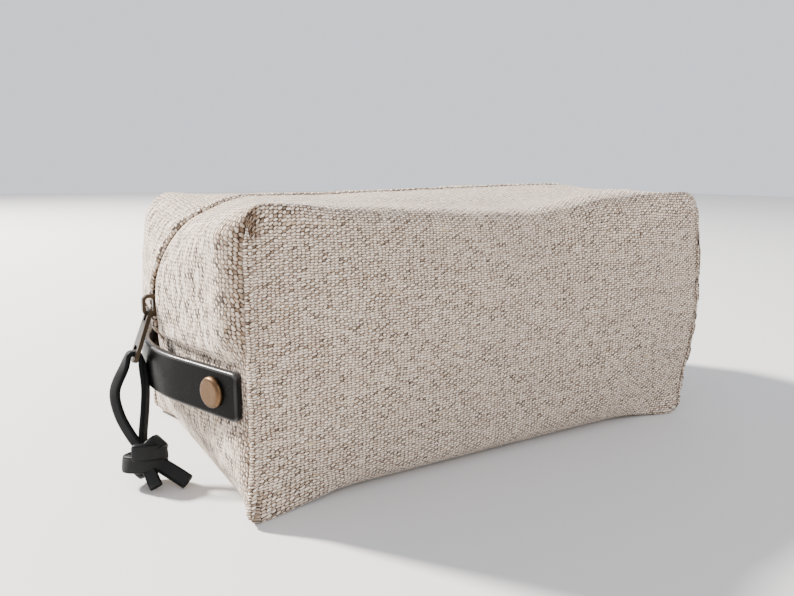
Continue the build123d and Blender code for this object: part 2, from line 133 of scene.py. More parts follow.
def ring_point(kind, q, y, drop, inset):
    """Position and cloth coordinate of one outline station; drop lowers the folded edge."""
    half = wall_half(y) - inset
    radius = max(corner_radius(y) - inset, SMALLEST_RADIUS)
    high = HEIGHT - inset - drop
    low = inset + drop
    flat = half - radius
    if kind == "top":
        return flat * q, high, flat * q
    if kind == "arc":
        a = q * math.pi / 2
        return flat + radius * math.sin(a), high - radius + radius * math.cos(a), flat + radius * a
    run = flat + radius * math.pi / 2
    if kind == "wall":
        z = high - radius - (high - radius - END_SEAM_Z) * q
        return half, z, run + high - radius - z
    run += high - radius - END_SEAM_Z
    base = max(BASE_RADIUS - inset, SMALLEST_BASE_RADIUS)
    if kind == "lower":
        z = END_SEAM_Z - (END_SEAM_Z - low) * (1 - (1 - q) ** FLOOR_CROWDING)
        x = lower_wall_x(y, max(z, 0.0)) - inset
        if z < low + base:
            x -= curl(base, low + base - z)
        return x, z, run + END_SEAM_Z - z
    edge = floor_half(y) - inset - base
    run += END_SEAM_Z - low
    return edge * (1 - q), low, run + edge * q


# ---- how the filling shapes it, in mm

# wavelength, depth and noise offset of the cloth's unevenness, slow to fine
SAG_WAVES = (
    (46, 1.3, (3.1, 0.7, 5.2)),
    (17, 0.55, (9.4, 2.2, 1.3)),
    (7, 0.16, (1.4, 8.3, 6.6)),
)
BOX_HALF = (112, 60, 50)
BOX_POWER = 7
SLIT_CALM = 0.75
SAG_UNDER_STRAP = 0.15
BOW_POWER = 0.75
RIGHT_BOW = 7.2
RIGHT_PUSH = 2.0
RIGHT_SPREAD = 3.0
RIGHT_LOW_BOW = 0.85  # the right seams bow this much of the full amount low down
LEFT_BOW = 5.5
LEFT_SPREAD = 1.5
PUFF_REACH = 4.0
PUFF_UNDER_STRAP = 0.1
ROLL = 2.8
ROLL_REACH = 3.0
LEFT_EAR = 3.6
EAR_SPREAD = 2.6
POINT_PULL = (2.4, 0, 1.0)
SHOULDER_LIFT = (2.0, 0, 3.0)
SHOULDER_Y = 29
SHOULDER_WIDTH = 14
OVERHANG = 1.0
OVERHANG_WIDTH = 2.2
UNDERCUT = 0.8
UNDERCUT_DROP = 0.4
UNDERCUT_WIDTH = 0.8
SLUMP = 1.6
SLUMP_Y = 42
SLUMP_WIDTH = 14
RIDGE = 3.6
RIDGE_WIDTH = 20
FOLD_DROP = 3.0
FOLD_DRAW = 2.6
FOLD_STAND = 3.2
FOLD_STAND_LOSS = 0.95
FLOOR_LIFT = 0.7
FLOOR_LIFT_HALF = 102

# where effects come and go, as (from, to): END bands run along x, SIDE bands are distances from the
# middle across y, LEVEL and TOP bands are heights, GRIP bands are distances from the strap's middle
CALM_LEVEL = (0, 12)
CALM_GRIP = (8, 20)
CALM_END = 96
SLIT_SIDE = (3, 16)
SLIT_LEVEL = (45, 60)
BOW_END = (10, 104)
BOW_GRIP = (8, 16)
BOW_FREE_SIDE = (53, 58)
BOW_LEVEL = (30, 75)
BOW_SEAM_SIDE = (22, HALF_WIDTH)
BOW_FACE_SIDE = (38, HALF_WIDTH)
PUFF_END = (92, 100)
PUFF_GRIP = (8, 18)
PUFF_LEVEL = (0, 14)
PUFF_TOP = (90, 100)
ROLL_SIDE = (38, 50)
ROLL_LEVEL = (52, 62)
ROLL_TOP = (90, 99)
EAR_END = (82, 101)
EAR_SIDE = (44, HALF_WIDTH)
EAR_LEVEL = (0, 24)
POINT_END = (55, 99)
POINT_SIDE = (46, HALF_WIDTH)
POINT_LEVEL = (86, 97)
SHOULDER_END = (70, 96)
SHOULDER_LEVEL = (66, 90)
LEVEL_SEAM_END = 98
LEVEL_SEAM_SIDE = (44, 55)
SLUMP_END = (70, 104)
RIDGE_START = (-72, 80)
RIDGE_END = (86, 112)
TOP_LEVEL = (80, 97)
ROUND_START = (-70, -10)
ROUND_END = (10, 52)
STAND_START = (12, 56)
STAND_END = (64, 97)
DROP_SIDE = (26, HALF_WIDTH)
DROP_LEVEL = (70, 96)
DRAW_SIDE = (30, 50)
DRAW_LEVEL = (64, 98)
RISE_SIDE = (30, 52)
RISE_LEVEL = (78, 98)
LIFT_SIDE = (46, 58)
LIFT_LEVEL = (2, 14)


def comes(band, value):
    return smoothstep(*band, value)


def goes(band, value):
    return 1 - smoothstep(*band, value)


def sag(x, y, z):
    """Slow unevenness of the filled cloth, along a rough outward normal."""
    p = Vector((x, y, z))
    return sum(depth * noise.noise(p / length + Vector(offset)) for length, depth, offset in SAG_WAVES)


def outward(x, y, z):
    """Rough outward direction of the form at a point."""
    shares = (x / BOX_HALF[0], y / BOX_HALF[1], (z - BOX_HALF[2]) / BOX_HALF[2])
    n = Vector([share**BOX_POWER for share in shares])
    return n.normalized() if n.length > 1e-9 else Vector((0, 0, 1))


def sagged(x, y, z):
    """The uneven cloth, held calm at the floor, along the slit and under the straps."""
    at_slit = 1 - SLIT_CALM * goes(SLIT_SIDE, abs(y)) * comes(SLIT_LEVEL, z)
    at_strap = 1.0
    if abs(x) > CALM_END:
        at_strap = comes(CALM_GRIP, abs(z - STRAP_Z)) * (1 - SAG_UNDER_STRAP) + SAG_UNDER_STRAP
    return outward(x, y, z) * sag(x, y, z) * comes(CALM_LEVEL, z) * at_slit * at_strap


def bow(x, y, z):
    """The filling bows three corner seams outwards at mid-height; the front left one stays straight."""
    if x <= 0 and y <= 0:
        return Vector((0, 0, 0))
    side = abs(y)
    high = math.sin(math.pi * min(max(z / HEIGHT, 0.0), 1.0)) ** BOW_POWER
    near_seam = comes(BOW_SEAM_SIDE, side)
    near_face = comes(BOW_FACE_SIDE, side)
    share = comes(BOW_END, abs(x))
    free = 1 - goes(BOW_GRIP, abs(z - STRAP_Z)) * goes(BOW_FREE_SIDE, side)
    if x > 0:
        high *= RIGHT_LOW_BOW + (1 - RIGHT_LOW_BOW) * comes(BOW_LEVEL, z)
        out = (RIGHT_BOW * near_seam + RIGHT_PUSH) * free
        return Vector((out, math.copysign(RIGHT_SPREAD, y) * near_face, 0)) * share * high
    out = -LEFT_BOW * near_seam * free
    return Vector((out, LEFT_SPREAD * near_face, 0)) * share * high


def end_puff(x, y, z):
    """Beside the corner seams the end cloth puffs out, except under the strap."""
    if abs(x) <= PUFF_END[0]:
        return Vector((0, 0, 0))
    past_seam = abs(y) - HALF_WIDTH
    puff = SEAM_PUFF * (1 - math.exp(past_seam / PUFF_REACH))
    puff *= PUFF_UNDER_STRAP + (1 - PUFF_UNDER_STRAP) * comes(PUFF_GRIP, abs(z - STRAP_Z))
    puff *= comes(PUFF_END, abs(x)) * comes(PUFF_LEVEL, z) * goes(PUFF_TOP, z)
    if x < 0 and y < 0:
        # the front left seam sits in a crevice, with the end cloth rolling into it
        roll = ROLL * (1 - math.exp(past_seam / ROLL_REACH)) * comes(ROLL_SIDE, abs(y))
        puff += roll * comes(ROLL_LEVEL, z) * goes(ROLL_TOP, z)
    return Vector((math.copysign(puff, x), 0, 0))


def pulled_corners(x, y, z):
    """The lower corners stand out as ears, and the right end's upper ones are pulled into points."""
    side = abs(y)
    ear = comes(EAR_END, abs(x)) * comes(EAR_SIDE, side) * goes(EAR_LEVEL, z)
    out = Vector((-LEFT_EAR * ear if x < 0 else 0, math.copysign(EAR_SPREAD * ear, y), 0))
    if x > 0:
        out += Vector(POINT_PULL) * comes(POINT_END, x) * comes(POINT_SIDE, side) * comes(POINT_LEVEL, z)
        # the filling holds up the shoulders between the points and the zip
        held = bell(side - SHOULDER_Y, SHOULDER_WIDTH)
        out += Vector(SHOULDER_LIFT) * held * comes(SHOULDER_END, x) * comes(SHOULDER_LEVEL, z)
    return out


def level_seam(x, y, z):
    """At the level seam on the end faces the upper cloth overhangs the lower."""
    if abs(x) <= LEVEL_SEAM_END:
        return Vector((0, 0, 0))
    above = z - END_SEAM_Z
    out = OVERHANG * bell(above - OVERHANG_WIDTH, OVERHANG_WIDTH)
    out -= UNDERCUT * bell(above + UNDERCUT_DROP, UNDERCUT_WIDTH)
    return Vector((math.copysign(goes(LEVEL_SEAM_SIDE, abs(y)), x) * out, 0, 0))


def top_form(x, y, z):
    """The top rises along the zip and slumps in front of and behind it."""
    side = abs(y)
    slump = SLUMP * bell(side - SLUMP_Y, SLUMP_WIDTH) * goes(SLUMP_END, abs(x))
    ridge = RIDGE * bell(side, RIDGE_WIDTH) * comes(RIDGE_START, x) * goes(RIDGE_END, abs(x))
    return Vector((0, 0, (ridge - slump) * comes(TOP_LEVEL, z)))


def top_fold(x, y, z):
    """The long top fold is rounder in the middle and stands up towards the right end."""
    side = abs(y)
    rounded = comes(ROUND_START, x) * goes(ROUND_END, x)
    stand = comes(STAND_START, x) * (1 - FOLD_STAND_LOSS * comes(STAND_END, x))
    drop = FOLD_DROP * rounded * comes(DROP_SIDE, side) * comes(DROP_LEVEL, z)
    draw = FOLD_DRAW * rounded * comes(DRAW_SIDE, side) * comes(DRAW_LEVEL, z)
    rise = FOLD_STAND * stand * comes(RISE_SIDE, side) * comes(RISE_LEVEL, z)
    return Vector((0, -math.copysign(draw, y), rise - drop))


def bottom_fold(x, y, z):
    """The long bottom fold lifts off the floor between its corners."""
    lift = FLOOR_LIFT * (1 - (x / FLOOR_LIFT_HALF) ** 4) * comes(LIFT_SIDE, abs(y)) * goes(LIFT_LEVEL, z)
    return Vector((0, 0, lift))


EFFECTS = (sagged, bow, end_puff, pulled_corners, level_seam, top_form, top_fold, bottom_fold)


def shaped(x, y, z):
    """Moves a point of the plain form to where the filling and the seams hold the cloth."""
    p = Vector((x, y, z))
    for effect in EFFECTS:
        p += effect(x, y, z)
    return p


# ---- cloth skins

LIP_GAPS = (0, 0.5, 1.3, 2.6)  # closely spaced rows beside the slit
LIP_END = LIP_GAPS[-1]
ROW_STEP = 1.8
FOLD_STEPS = 12
FACE_ROWS = 42
FACE_FOOT_ROWS = 6
FACE_BULGE = 1.2
CLOSED_SLIT = 0.02  # below the level seam the slit is closed up to this
LIP_ROLL = 1.0
LIP_RISE = {-1: 0.2, 1: 0.9}  # the rear lip stands higher than the front one
SEWN_WITHIN = 0.12  # vertices this close to each other are one
LEVEL_MARGIN = 0.01
SHARP_FOLD = (60, 97)
LIP_LOWEST = 70
LIP_ALONG = (38, 112)
LIP_ACROSS = (43, 54)
SHADE_END = (95, 100)
SHADE_SIDE = (4, 12)
SHADE_WIDTH = 1.9
WIDE_SHADE = 0.36
PUCKER_END = (97, 104)
PUCKER_SIDE = (0, 12)


def lip_weight(s, y, z):
    """How far a point follows the opening lip: s runs along the zip, y across it."""
    if z < LIP_LOWEST:
        return 0.0
    return goes(LIP_ALONG, abs(s)) * goes(LIP_ACROSS, abs(y))


def folded(turn, fold, sharp):
    """Y and drop part way round a long fold, which is rounder in the middle than at its ends."""
    quarter = math.pi / 4
    y = fold * ((1 - sharp) * math.sin(turn) + sharp * min(turn / quarter, 1.0))
    drop = fold * ((1 - sharp) * (1 - math.cos(turn)) + sharp * max(turn / quarter - 1, 0.0))
    return FOLD_START + y, drop


def row_stations(slit):
    """How far across each row of cloth lies, and how far round the fold the last ones have turned."""
    ys = [slit + gap for gap in LIP_GAPS]
    while ys[-1] < FOLD_START:
        ys.append(min(ys[-1] + ROW_STEP, FOLD_START))
    turns = [i / FOLD_STEPS * math.pi / 2 for i in range(1, FOLD_STEPS + 1)]
    return [(y, None) for y in ys] + [(FOLD_START, turn) for turn in turns]


def station(kind, q, y, turn, inset):
    """Place (x, y, z) and cloth coordinates (s, t) of one station of a row."""
    if turn is None:
        x, z, s = ring_point(kind, q, y, 0.0, inset)
        return x, y, z, s, y
    fold = FOLD - inset
    y, drop = folded(turn, fold, 0.0)
    x = ring_point(kind, q, y, drop, inset)[0]
    y, drop = folded(turn, fold, comes(SHARP_FOLD, x))
    x, z, s = ring_point(kind, q, y, drop, inset)
    return x, y, z, s, FOLD_START + fold * turn


def lip_rise(y, slit, side):
    """The cloth rises beside the slit and rolls down into it."""
    return bell(y - slit - 1.6, 2.4) * LIP_RISE[side] - bell(y - slit, 0.9) * LIP_ROLL


def seam_shade(x, y, side):
    """How deep in the painted shade of the left end's corner seams a point lies: darkest in the crevice,
    with a wide shaded band beside the front one.
    """
    from_seam = HALF_WIDTH - y
    wide = WIDE_SHADE * goes(SHADE_SIDE, from_seam) if side < 0 else 0.0
    return max(bell(from_seam, SHADE_WIDTH), wide) * comes(SHADE_END, -x)


def outward_top(x, z):
    """Outward direction along the zip's path."""
    corner = Vector((SEAM_HALF + SWELL - CORNER_RADIUS, 0, HEIGHT - CORNER_RADIUS))
    d = Vector((max(abs(x) - corner.x, 0), 0, max(z - corner.z, 0)))
    d = d.normalized() if d.length > 1e-6 else Vector((0, 0, 1))
    return Vector((math.copysign(d.x, x), 0, d.z))


def wrapped_rows(mesh, layers, side, inset, slit):
    """Rows of (vertex, wall cloth coordinates, base cloth coordinates), one line each way."""
    samples = ring_samples()
    fold = FOLD - inset
    under_start = FOLD_START + fold * math.pi / 2 + HEIGHT - 2 * inset - 2 * fold
    rows = []
    for row_y, turn in row_stations(slit):
        row = []
        under = under_start + fold * (math.pi / 2 - (turn or 0)) + max(FOLD_START - row_y, 0)
        for hand in (-1, 1):
            line = []
            for kind, q in samples:
                x, y, z, s, t = station(kind, q, row_y, turn, inset)
                below = z < END_SEAM_Z - LEVEL_MARGIN
                place_y = y
                if below and y <= slit + LIP_END:
                    place_y = CLOSED_SLIT + (y - slit) * (slit + LIP_END) / LIP_END
                point = shaped(hand * x, side * place_y, z)
                if not below:
                    point += outward_top(hand * x, z) * lip_rise(y, slit, side)
                vert = mesh.verts.new(point * MM)
                vert[layers["lip"]] = lip_weight(s, y, z)
                vert[layers["end_face"]] = comes(PUCKER_END, x) * comes(PUCKER_SIDE, HALF_WIDTH - y)
                # weight of the painted shade in the left end's corner seams
                vert[layers["painted_seam_shade"]] = seam_shade(hand * x, y, side)
                line.append((vert, (hand * s * MM, side * t * MM), (hand * x * MM, side * under * MM)))
            row.append(line)
        rows.append(row)
    return rows


def face_rows(mesh, side, inset):
    """The front or rear face between the long folds, as rows of (vertex, cloth coordinates)."""
    fold = FOLD - inset
    y = FOLD_START + fold
    high, low = HEIGHT - inset - fold, inset + fold
    radius = max(corner_radius(y) - inset, SMALLEST_RADIUS)
    half = wall_half(y) - inset
    tops = [ring_point("top", i / TOP_STEPS, y, fold, inset)[0] for i in range(TOP_STEPS + 1)]
    shares = [x / (half - radius) for x in tops]
    shares = [-v for v in reversed(shares)][:-1] + shares
    turns = [k / ARC_STEPS * math.pi / 2 for k in range(ARC_STEPS + 1)]
    levels = [(high - radius * (1 - math.cos(a)), half - radius * (1 - math.sin(a))) for a in turns]
    base = max(BASE_RADIUS - inset, SMALLEST_BASE_RADIUS)
    start, stop = levels[-1][0], low + base
    levels += [(start + (stop - start) * k / FACE_ROWS, None) for k in range(1, FACE_ROWS + 1)]
    foot = [(1 - k / FACE_FOOT_ROWS) ** 1.5 for k in range(1, FACE_FOOT_ROWS + 1)]
    levels += [(low + base * share, None) for share in foot]
    rows = []
    for z, reach in levels:
        if reach is None:
            reach = half if z >= END_SEAM_Z else lower_wall_x(y, z) - inset
        if z < stop:
            reach -= curl(base, stop - z)
        line = []
        for v in shares:
            point = shaped(v * reach, side * y, z)
            bulge = (1 - v**4) * math.sin(math.pi * (z - low) / (high - low)) * FACE_BULGE
            point.y += side * bulge
            t = FOLD_START + fold * math.pi / 2 + high - z
            line.append((mesh.verts.new(point * MM), (v * reach * MM, side * t * MM)))
        rows.append(line)
    return rows


def add_face(mesh, uv, corners, flip=False):
    """A smooth face from (vertex, cloth coordinates) corners, unless two of them are one."""
    if flip:
        corners = corners[::-1]
    verts = [corner[0] for corner in corners]
    if len(set(verts)) < len(verts):
        return
    face = mesh.faces.new(verts)
    face.smooth = True
    for loop, corner in zip(face.loops, corners):
        loop[uv].uv = corner[1]


def half_skin(name, side, inset, slit):
    """One half of a cloth layer as a mesh with cloth coordinates and lip weights."""
    mesh = bmesh.new()
    layers = {layer: mesh.verts.layers.float.new(layer) for layer in ("lip", "painted_seam_shade", "end_face")}
    uv = mesh.loops.layers.uv.new("Weave")
    first_base = TOP_STEPS + ARC_STEPS + WALL_STEPS + LOWER_STEPS
    rows = wrapped_rows(mesh, layers, side, inset, slit)
    for near, far in zip(rows, rows[1:]):
        for hand, a, b in zip((-1, 1), near, far):
            for j in range(len(a) - 1):
                layer = 2 if j >= first_base else 1
                corners = [(c[0], c[layer]) for c in (a[j], a[j + 1], b[j + 1], b[j])]
                add_face(mesh, uv, corners, (hand * side) < 0)
    rows = face_rows(mesh, side, inset)
    for a, b in zip(rows, rows[1:]):
        for j in range(len(a) - 1):
            add_face(mesh, uv, (a[j], b[j], b[j + 1], a[j + 1]), side > 0)
    bmesh.ops.remove_doubles(mesh, verts=mesh.verts, dist=SEWN_WITHIN * MM)
    return link_mesh(name, mesh)


def link_mesh(name, mesh):
    """Puts a finished bmesh into the scene as an object."""
    data = bpy.data.meshes.new(name)
    mesh.to_mesh(data)
    mesh.free()
    obj = bpy.data.objects.new(name, data)
    bpy.context.scene.collection.objects.link(obj)
    return obj


def new_mesh_object(name, mesh, material):
    obj = link_mesh(name, mesh)
    obj.data.materials.append(material)
    return obj


def join_loops(mesh, a, b, smooth=True):
    """Faces all round between two closed loops of as many vertices, in order."""
    faces = []
    for j in range(len(a)):
        k = (j + 1) % len(a)
        face = mesh.faces.new((a[j], a[k], b[k], b[j]))
        face.smooth = smooth
        faces.append(face)
    return faces


WELT_SIDES = 10
WELT_STEP = 0.4
WELT_FOOT = 2.5
WELT_LENGTH = 91.0
WELT_TOP = 5.0  # how far below the bag's top the welt has faded out
WELT_FADE = (0, 5)
WELT_OFFSET = (0.25, 0.1)  # how far the welt's centre lies in along x and out across y
STITCH_PITCH = 1.76
# radius, depth of the scallops and length of the fade at the top, for the left and right seams
WELTS = {-1: (1.4, 0.28, 8), 1: (0.9, 0.05, 3)}


def welt_ring(hand, side, z):
    """Centre and radius of a corner seam's welt at one height."""
    radius, scallop, fade = WELTS[hand]
    x = wall_half(HALF_WIDTH) if z >= END_SEAM_Z else lower_wall_x(HALF_WIDTH, z)
    centre = shaped(hand * x, side * HALF_WIDTH, z)
    centre += Vector((-hand * WELT_OFFSET[0], side * WELT_OFFSET[1], 0))
    stitch = abs(math.sin(z * math.pi / STITCH_PITCH + noise.noise(Vector((z / 7, hand, side)))))
    end = min(comes(WELT_FADE, z), smoothstep(0, fade, HEIGHT - WELT_TOP - z))
    return centre, radius * (0.9 + scallop * stitch) * max(end, 0.05)


def add_welts(obj, side):
    """The stitched corner seams: a thin rolled ridge of cloth down each, scalloped by the weave."""
    mesh = bmesh.new()
    mesh.from_mesh(obj.data)
    uv = mesh.loops.layers.uv["Weave"]
    for hand in (-1, 1):
        rings = []
        for i in range(int(WELT_LENGTH / WELT_STEP) + 1):
            z = WELT_FOOT + i * WELT_STEP
            centre, radius = welt_ring(hand, side, z)
            ring = []
            for k in range(WELT_SIDES):
                a = k / WELT_SIDES * math.tau
                out = Vector((hand * math.cos(a), side * math.sin(a), 0))
                ring.append((mesh.verts.new((centre + out * radius) * MM), (a * 1.1 * MM, z * MM)))
            rings.append(ring)
        for a, b in zip(rings, rings[1:]):
            for k in range(WELT_SIDES):
                n = (k + 1) % WELT_SIDES
                add_face(mesh, uv, (a[k], a[n], b[n], b[k]))
    mesh.to_mesh(obj.data)
    mesh.free()


def thicken(obj, amount):
    """Gives a skin its cloth thickness, inwards, and keeps its attributes."""
    modifier = obj.modifiers.new("thickness", "SOLIDIFY")
    modifier.thickness = amount * MM
    modifier.offset = -1
    modifier.use_rim = True
    modifier.use_even_offset = False
    bake(obj)


def bake(obj):
    """Applies an object's modifiers and keeps its attributes."""
    bpy.context.view_layer.update()
    graph = bpy.context.evaluated_depsgraph_get()
    data = bpy.data.meshes.new_from_object(
        obj.evaluated_get(graph), preserve_all_data_layers=True, depsgraph=graph
    )
    obj.modifiers.clear()
    obj.data = data


def follow_lip(obj):
    """Bakes a mesh's transform into it; its stored lip weights are read but not used."""
    values = np.zeros(len(obj.data.vertices), np.float32)
    obj.data.attributes["lip"].data.foreach_get("value", values)
    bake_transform(obj)


# ---- materials


class Graph:
    """Small helper that wires shader nodes."""

    def __init__(self, name):
        self.material = bpy.data.materials.new(name)
        self.material.use_nodes = True
        self.tree = self.material.node_tree
        self.shader = self.tree.nodes["Principled BSDF"]

    def put(self, socket, value):
        if isinstance(value, bpy.types.NodeSocket):
            self.tree.links.new(value, socket)
        else:
            socket.default_value = (*value, 1) if isinstance(value, tuple) else value

    def math(self, operation, a, b=0.0, clamp=False):
        node = self.tree.nodes.new("ShaderNodeMath")
        node.operation = operation
        node.use_clamp = clamp
        for socket, value in zip(node.inputs, (a, b)):
            self.put(socket, value)
        return node.outputs[0]

    def vector(self, x, y, z=0.0):
        node = self.tree.nodes.new("ShaderNodeCombineXYZ")
        for socket, value in zip(node.inputs, (x, y, z)):
            self.put(socket, value)
        return node.outputs[0]

    def noise(self, vector, scale, detail=2.0, rough=0.5):
        node = self.tree.nodes.new("ShaderNodeTexNoise")
        self.put(node.inputs["Vector"], vector)
        node.inputs["Scale"].default_value = scale
        node.inputs["Detail"].default_value = detail
        node.inputs["Roughness"].default_value = rough
        return node.outputs["Fac"]

    def random(self, vector):
        node = self.tree.nodes.new("ShaderNodeTexWhiteNoise")
        node.noise_dimensions = "3D"
        self.put(node.inputs["Vector"], vector)
        return node.outputs["Value"]

    def ramp(self, value, stops):
        node = self.tree.nodes.new("ShaderNodeValToRGB")
        elements = node.color_ramp.elements
        while len(elements) < len(stops):
            elements.new(0.5)
        for element, (position, color) in zip(elements, stops):
            element.position = position
            element.color = (*color, 1)
        self.put(node.inputs[0], value)
        return node.outputs[0]

    def mix(self, factor, a, b, blend="MIX"):
        node = self.tree.nodes.new("ShaderNodeMix")
        node.data_type = "RGBA"
        node.blend_type = blend
        self.put(node.inputs[0], factor)
        self.put(node.inputs[6], a)
        self.put(node.inputs[7], b)
        return node.outputs[2]

    def attribute(self, name):
        node = self.tree.nodes.new("ShaderNodeAttribute")
        node.attribute_name = name
        return node.outputs["Fac"]

    def wear(self, floor, gain):
        """High on sharp outward edges, 0 elsewhere."""
        geometry = self.tree.nodes.new("ShaderNodeNewGeometry")
        return self.above(geometry.outputs["Pointiness"], floor, gain)

    def object_coords(self):
        return self.tree.nodes.new("ShaderNodeTexCoord").outputs["Object"]

    def bump(self, height, distance, strength):
        node = self.tree.nodes.new("ShaderNodeBump")
        node.inputs["Strength"].default_value = strength
        node.inputs["Distance"].default_value = distance
        self.put(node.inputs["Height"], height)
        return node.outputs[0]

    def around(self, value, middle, gain):
        """How far a value lies from its middle, times a gain."""
        return self.math("MULTIPLY", self.math("SUBTRACT", value, middle), gain)

    def above(self, value, floor, gain):
        """How far a value passes a floor, times a gain and held between 0 and 1."""
        return self.math("MULTIPLY", self.math("SUBTRACT", value, floor), gain, clamp=True)

    def times(self, value, factor):
        return self.math("MULTIPLY", value, factor)

    def plus(self, value, extra, factor):
        """A value with some share of another one added."""
        return self.math("ADD", value, self.times(extra, factor))

    def thread_noise(self, threads, stretch, layer=0.0, detail=2.0, rough=0.5):
        """Noise that runs with the weave: threads counts them each way, stretch squeezes them."""
        squeezed = [self.times(count, factor) for count, factor in zip(threads, stretch)]
        return self.noise(self.vector(*squeezed, layer), 1.0, detail, rough)

    def finish(self, color, rough, normal, metal=0.0, sheen=0.0, specular=0.5):
        self.put(self.shader.inputs["Base Color"], color)
        self.put(self.shader.inputs["Roughness"], rough)
        self.put(self.shader.inputs["Metallic"], metal)
        self.put(self.shader.inputs["Sheen Weight"], sheen)
        self.put(self.shader.inputs["Specular IOR Level"], specular)
        self.put(self.shader.inputs["Normal"], normal)
        return self.material


FADED = (0.90, 0.88, 0.92)  # cool patches where the cloth is rubbed
STREAKED = (0.80, 0.75, 0.68)  # darker runs of thread
FIBRED = (0.86, 0.81, 0.75)
SEAM_SHADE = (0.30, 0.235, 0.18)
FLOAT_LENGTH = 0.42  # half length of a raised float, in threads, before its random share
FLOAT_HALF_WIDTH = 0.46


def woven(name, pitch, gap, shade, light, slub, depth, slant=0.24, tint=0.5):
    """Heavy plain weave laid out on the cloth coordinates: raised light floats in a chequer, with painted
    shade in the gaps and valleys between them.
    """
    g = Graph(name)
    cloth = g.tree.nodes.new("ShaderNodeUVMap")
    cloth.uv_map = "Weave"
    uv = cloth.outputs[0]
    split = g.tree.nodes.new("ShaderNodeSeparateXYZ")
    g.put(split.inputs[0], uv)

    # threads counted each way; they wander slowly and shake a little
    drift = g.around(g.noise(uv, 150.0, 2.0), 0.5, 1.6)
    shake = g.around(g.noise(uv, 900.0, 1.0), 0.5, 0.5)
    v = g.math("ADD", g.math("DIVIDE", split.outputs[1], pitch[1] * MM), g.math("ADD", drift, shake))
    u = g.math("ADD", g.math("DIVIDE", split.outputs[0], pitch[0] * MM), g.math("SUBTRACT", drift, shake))
    row = g.math("FLOOR", v)
    column = g.math("FLOOR", u)

    # each crossing has two random values of its own, and every other one is raised
    cell = g.random(g.vector(column, row))
    other = g.random(g.vector(column, row, 7.0))
    parity = g.math("ABSOLUTE", g.math("MODULO", g.math("ADD", column, row), 2.0))
    raised = g.math("LESS_THAN", parity, 0.5)

    # a slanted dome over each crossing, high where its thread is on top
    cell_u = g.math("SUBTRACT", g.math("SUBTRACT", u, column), 0.5)
    cell_v = g.math("SUBTRACT", g.math("SUBTRACT", v, row), 0.5)
    along = g.math("SUBTRACT", cell_u, g.times(cell_v, slant))
    across = g.math("SUBTRACT", cell_v, g.times(cell_u, slant * 0.9))
    length = g.plus(FLOAT_LENGTH, other, 0.18)
    fall_along = g.math("POWER", g.math("ABSOLUTE", g.math("DIVIDE", along, length)), 2.3)
    fall_across = g.math("POWER", g.math("ABSOLUTE", g.math("DIVIDE", across, FLOAT_HALF_WIDTH)), 2.0)
    dome = g.math("SUBTRACT", 1.0, g.math("ADD", fall_along, fall_across), clamp=True)
    dome = g.math("POWER", dome, 0.75)
    top = g.times(dome, g.plus(0.72, cell, 0.32))
    under = g.times(dome, g.plus(0.12, other, 0.30))
    height = g.plus(g.times(top, raised), under, g.math("SUBTRACT", 1.0, raised))

    # loose fibre, clumped threads, and puckers on the end faces; they shape both the relief and the
    # colour, where their valleys get painted shade
    threads = (u, v)
    fibre = g.thread_noise(threads, (1.3, 3.5), 0.0, 4.0, 0.65)
    fluff = g.noise(uv, 420.0, 4.0, 0.7)
    clump = g.around(g.thread_noise(threads, (0.30, 0.85), 5.0), 0.5, 1.5)
    pucker = g.around(g.thread_noise(threads, (0.26, 0.42), 9.0), 0.48, g.attribute("end_face"))
    mixed = g.math("ADD", height, g.around(fluff, 0.5, 0.45))
    mixed = g.plus(mixed, clump, 0.10)
    mixed = g.plus(mixed, pucker, 1.9)
    # the colour follows the relief: raised floats take the thread's light colour, while the gaps between
    # threads and the valleys of clumps and puckers are painted dark as shade
    color = g.ramp(mixed, [(0.0, gap), (0.20, shade), (0.54, light)])

    # rubbed patches, dark streaks, uneven crossings, warm slubs and fibres
    patches = g.above(g.noise(uv, 30.0, 4.0, 0.65), 0.46, 4.5)
    color = g.mix(g.times(patches, tint), color, FADED, "MULTIPLY")
    streak = g.above(g.thread_noise(threads, (0.07, 0.55), 0.0, 3.0, 0.55), 0.50, 4.0)
    color = g.mix(streak, color, STREAKED, "MULTIPLY")
    tone = g.plus(0.90, cell, 0.2)
    color = g.mix(1.0, color, g.vector(tone, tone, tone), "MULTIPLY")
    warm = g.above(g.thread_noise(threads, (0.22, 0.4), 3.0, 1.0), 0.66, 9.0)
    color = g.mix(g.times(warm, 0.55), color, slub)
    color = g.mix(g.times(fibre, 0.4), color, FIBRED, "MULTIPLY")
    # painted shade in the left end's corner seams, where the crevice and the cloth turned away from the
    # light lie in shade
    color = g.mix(g.times(g.attribute("painted_seam_shade"), 0.95), color, SEAM_SHADE, "MULTIPLY")

    relief = g.plus(height, fibre, 0.35)
    relief = g.plus(relief, fluff, 0.35)
    relief = g.plus(relief, clump, 0.5)
    relief = g.plus(relief, pucker, 3.0)
    return g.finish(color, 0.95, g.bump(relief, depth * MM, 0.9), sheen=0.2, specular=0.12)


LEATHER_GLINT = 0.035  # reflection where the leather isn't worn


